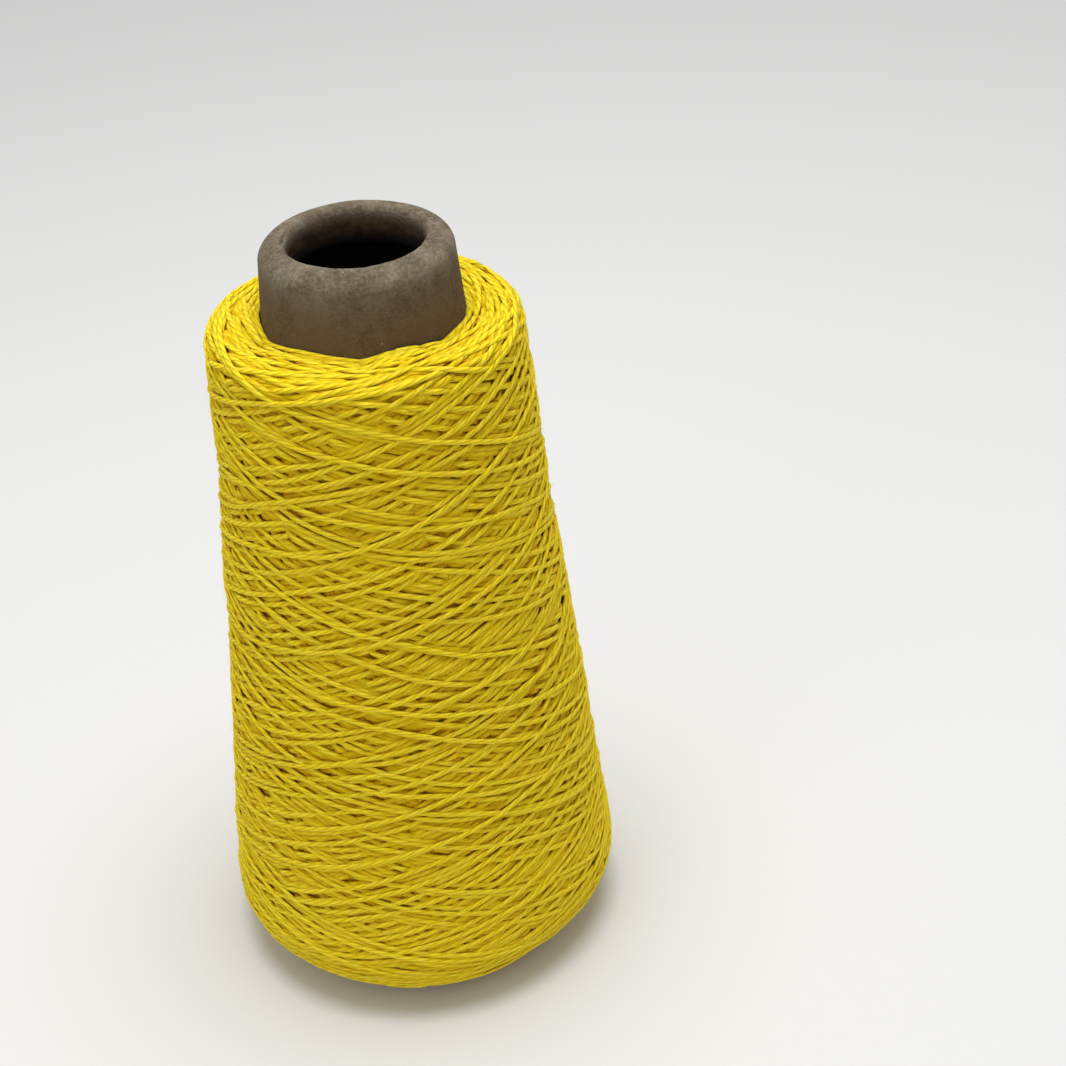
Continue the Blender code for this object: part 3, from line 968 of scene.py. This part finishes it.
def turns_mesh(name, stretches):
    """The tubes of these stretches. Their UVs are pitches along the strand and turns round it."""
    mesh = tubes_mesh(name, [rings for rings, length, depth, tone in stretches])
    turned = RING_ANGLES / math.tau
    turned = np.append(turned, turned[0] + 1)
    uvs, tones, depths = [], [], []
    for rings, length, depth, tone in stretches:
        grid = np.stack(np.meshgrid(length / PLY_PITCH, turned, indexing="ij"), axis=-1)
        uvs.append(cell_corners(grid).reshape(-1, 2))
        tones.append(np.full(depth.size, tone))
        depths.append(depth.ravel())
    uvs = np.concatenate(uvs)
    end_uvs = np.zeros((len(mesh.loops) - len(uvs), 2))
    layout = mesh.uv_layers.new(name="strand")
    layout.data.foreach_set("uv", np.concatenate([uvs, end_uvs]).astype(np.float32).ravel())
    for attribute_name, values in (("tone", tones), ("buried", depths)):
        attribute = mesh.attributes.new(attribute_name, "FLOAT", "POINT")
        attribute.data.foreach_set("value", np.concatenate(values).astype(np.float32))
    return mesh


seen_yarn = []
length_laid = 0.0
for azimuth, along, lift in laid_strands:
    for first, last in seen_stretches(azimuth, along, lift):
        dip = np.arange(last - first) * STRAND_STEP
        dip = np.clip(1 - np.minimum(dip, dip[::-1]) / BURIED_LENGTH, 0, 1)
        part = slice(first, last)
        part_lift = flattened(along[part], lift[part]) - BURIED_DIP * dip
        length_before = length_laid + first * STRAND_STEP
        drawn = strand_rings(azimuth[part], along[part], part_lift, length_before)
        seen_yarn.append((*drawn, chance.uniform(0, 1)))
    length_laid += len(azimuth) * STRAND_STEP

YARN_LIT = (0.87, 0.690, 0.015, 1.0)
YARN_PALE = (0.93, 0.800, 0.110, 1.0)
# Painted shade in the grooves between the plies.
YARN_GROOVE_SHADE = (0.64, 0.440, 0.001, 1.0)
YARN_SLUBS = (240, 0.35, 0.65, 1.0, 0.5)
PLIES = 4
STREAK_LENGTH = 1.8 * MM
STREAKS_AROUND = 28
STREAKS_APART = 90.0  # how far the streaks of one strand lie from another's in the noise


def strand_place(tree):
    """Where on the yarn: pitches along it, plies round it once untwisted, and a number of its own."""
    layout = add_node(tree, "ShaderNodeUVMap", uv_map="strand").outputs["UV"]
    parts = add_node(tree, "ShaderNodeSeparateXYZ", {"Vector": layout})
    untwisted = maths(tree, "SUBTRACT", parts.outputs["Y"], parts.outputs["X"])
    return parts.outputs["X"], untwisted, marked(tree, "tone")


def yarn_material(name):
    """Plied cotton yarn: fine plies twisted softly round each other, of fibres dyed bright yellow."""
    material, tree, shader = new_material(name)
    pitches, untwisted, tone = strand_place(tree)
    across_ply = maths(tree, "PINGPONG", times(tree, untwisted, PLIES), 0.5)
    ply = fade(tree, across_ply, 0.0, 0.27)
    streaks = {
        "X": times(tree, pitches, PLY_PITCH / STREAK_LENGTH),
        "Y": times(tree, untwisted, STREAKS_AROUND),
        "Z": times(tree, tone, STREAKS_APART),
    }
    streak_place = add_node(tree, "ShaderNodeCombineXYZ", streaks).outputs["Vector"]
    fibres = noise(tree, streak_place, 1.0, 2.0, 0.6)
    place = add_node(tree, "ShaderNodeTexCoord").outputs["Object"]
    slub = patches(tree, place, *YARN_SLUBS)
    buried = marked(tree, "buried")
    layers = [
        (tone, 0.35, YARN_SHADE),
        (slub, 0.10, YARN_PALE),
        (fade(tree, fibres, 0.45, 0.75), 0.25, YARN_PALE),
        (fade(tree, fibres, 0.50, 0.25), 0.30, YARN_SHADE),
        # Painted shade: the deeper a strand's flank lies, the darker and more orange it is painted.
        (fade(tree, buried, 0.0, 0.42), 0.95, YARN_SHADE),
        (fade(tree, buried, 0.25, 0.9), 1.0, YARN_DEEP_SHADE),
    ]
    # The grooves between the plies are painted darker: painted shade.
    colour = layered(tree, colour_mix(tree, ply, YARN_GROOVE_SHADE, YARN_LIT), layers)
    tree.links.new(colour, shader.inputs["Base Color"])
    shader.inputs["Roughness"].default_value = 0.9
    shader.inputs["Specular IOR Level"].default_value = 0.12
    shader.inputs["Sheen Weight"].default_value = 0.07
    shader.inputs["Sheen Roughness"].default_value = 0.35
    shader.inputs["Sheen Tint"].default_value = (1.0, 0.93, 0.5, 1.0)
    # Light spreads a little between the fibres.
    shader.inputs["Subsurface Weight"].default_value = 0.4
    shader.inputs["Subsurface Radius"].default_value = (1.0, 0.62, 0.12)
    shader.inputs["Subsurface Scale"].default_value = 0.4 * MM
    add_bump(tree, shader, maths(tree, "ADD", ply, times(tree, fibres, 0.45)), 0.8, 0.14 * MM)
    return material


yarn_finish = yarn_material("plied_cotton_yarn")
rings_so_far = np.cumsum([len(stretch[0]) for stretch in seen_yarn])
piece_of_stretch = (rings_so_far - 1) * TURN_PIECES // rings_so_far[-1]
for piece_number in range(TURN_PIECES):
    # The first piece holds the turns that were wound first.
    piece_name = f"yarn_turns_{piece_number + 1}"
    stretches = [seen_yarn[number] for number in np.flatnonzero(piece_of_stretch == piece_number)]
    turns = bpy.data.objects.new(piece_name, turns_mesh(piece_name, stretches))
    scene.collection.objects.link(turns)
    turns.data.materials.append(yarn_finish)
    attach(turns, "root")
    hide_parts("yarn_package")

# ---- Loose fibres -------------------------------------------------------------------------------
# Fine ends of cotton stand out of the spun yarn all over. Each is a thin bent hair that starts in a
# strand near the outside and lies mostly along it.
FIBRE_COUNT = 7000
FIBRE_RADIUS = 0.014 * MM
FIBRE_LENGTHS = (1.2 * MM, 3.6 * MM)
FIBRE_STEPS = 3
FIBRE_SIDES = 3
FIBRE_SLANTS = (0.05, 0.45)  # outward lean, for one along
FIBRE_SIDE_SLANT = 0.45  # the most either way
FIBRE_BENDS = (-0.5, 0.2)  # outwards over its length, for one along
FIBRE_SIDE_BEND = 0.5
FIBRE_TIP = 0.5  # of its radius
FIBRE_ROOT = 0.6 * STRAND_HALF_HEIGHT  # above the strand's middle
FIBRE_STARTS_ABOVE = -0.25 * MM  # of the even package
FIBRES_OFF_PAPER = 2.2 * MM
FIBRE_COLOUR = (0.90, 0.78, 0.10, 1.0)
FIBRE_PATCHES = (400, 0.3, 0.7, 1.0, 0.5)


def fibre_mesh(name, starts, forward, outward):
    """One mesh of bent hairs, each a thin closed tube."""
    sideways = np.cross(forward, outward)
    length = chance.uniform(*FIBRE_LENGTHS, len(starts))[:, None]
    way = forward * np.sign(chance.uniform(-1, 1, len(starts)))[:, None]
    way = way + outward * chance.uniform(*FIBRE_SLANTS, len(starts))[:, None]
    way = way + sideways * chance.uniform(-FIBRE_SIDE_SLANT, FIBRE_SIDE_SLANT, len(starts))[:, None]
    way /= np.linalg.norm(way, axis=1, keepdims=True)
    bend = outward * chance.uniform(*FIBRE_BENDS, len(starts))[:, None]
    bend = bend + sideways * chance.uniform(-FIBRE_SIDE_BEND, FIBRE_SIDE_BEND, len(starts))[:, None]
    across = np.cross(way, outward)
    across /= np.linalg.norm(across, axis=1, keepdims=True)
    upright = np.cross(across, way)
    turn = math.tau * np.arange(FIBRE_SIDES) / FIBRE_SIDES
    rings = []
    for share in np.linspace(0, 1, FIBRE_STEPS + 1):
        centre = starts + length * (way * share + bend * share**2)
        radius = FIBRE_RADIUS * (1 - (1 - FIBRE_TIP) * share)
        ring = np.cos(turn)[:, None] * across[:, None] + np.sin(turn)[:, None] * upright[:, None]
        rings.append(centre[:, None] + radius * ring)
    return tubes_mesh(name, np.stack(rings, axis=1))


def fibre_material():
    material, tree, shader = new_material("loose_cotton_fibres")
    place = add_node(tree, "ShaderNodeTexCoord").outputs["Object"]
    colour = colour_mix(tree, patches(tree, place, *FIBRE_PATCHES), FIBRE_COLOUR, YARN_LIT)
    tree.links.new(colour, shader.inputs["Base Color"])
    shader.inputs["Roughness"].default_value = 0.7
    shader.inputs["Specular IOR Level"].default_value = 0.3
    return material


fibre_starts, fibre_ways, fibre_outs = [], [], []
for azimuth, along, lift in laid_strands:
    flat_lift = flattened(along, lift)
    chosen = np.flatnonzero(flat_lift > FIBRE_STARTS_ABOVE)
    chosen = chosen[(chosen > 0) & (chosen < len(lift) - 1)]
    points = on_package(azimuth, along, flat_lift + PACKAGE_LIFT)
    outs = way_out(azimuth, along)
    fibre_starts.append(points[chosen] + outs[chosen] * FIBRE_ROOT)
    fibre_ways.append(points[chosen + 1] - points[chosen - 1])
    fibre_outs.append(outs[chosen])
fibre_starts = np.concatenate(fibre_starts)
fibre_ways = np.concatenate(fibre_ways)
fibre_outs = np.concatenate(fibre_outs)
off_paper = np.hypot(fibre_starts[:, 0], fibre_starts[:, 1]) - paper_radius(fibre_starts[:, 2])
picked = chance.choice(np.flatnonzero(off_paper > FIBRES_OFF_PAPER), FIBRE_COUNT, replace=False)
fibre_ways = fibre_ways[picked] / np.linalg.norm(fibre_ways[picked], axis=1, keepdims=True)
fibre_data = fibre_mesh("loose_fibres", fibre_starts[picked], fibre_ways, fibre_outs[picked])
loose_fibres = bpy.data.objects.new("loose_fibres", fibre_data)
scene.collection.objects.link(loose_fibres)
loose_fibres.data.materials.append(fibre_material())
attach(loose_fibres, "root")
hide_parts("yarn_package")
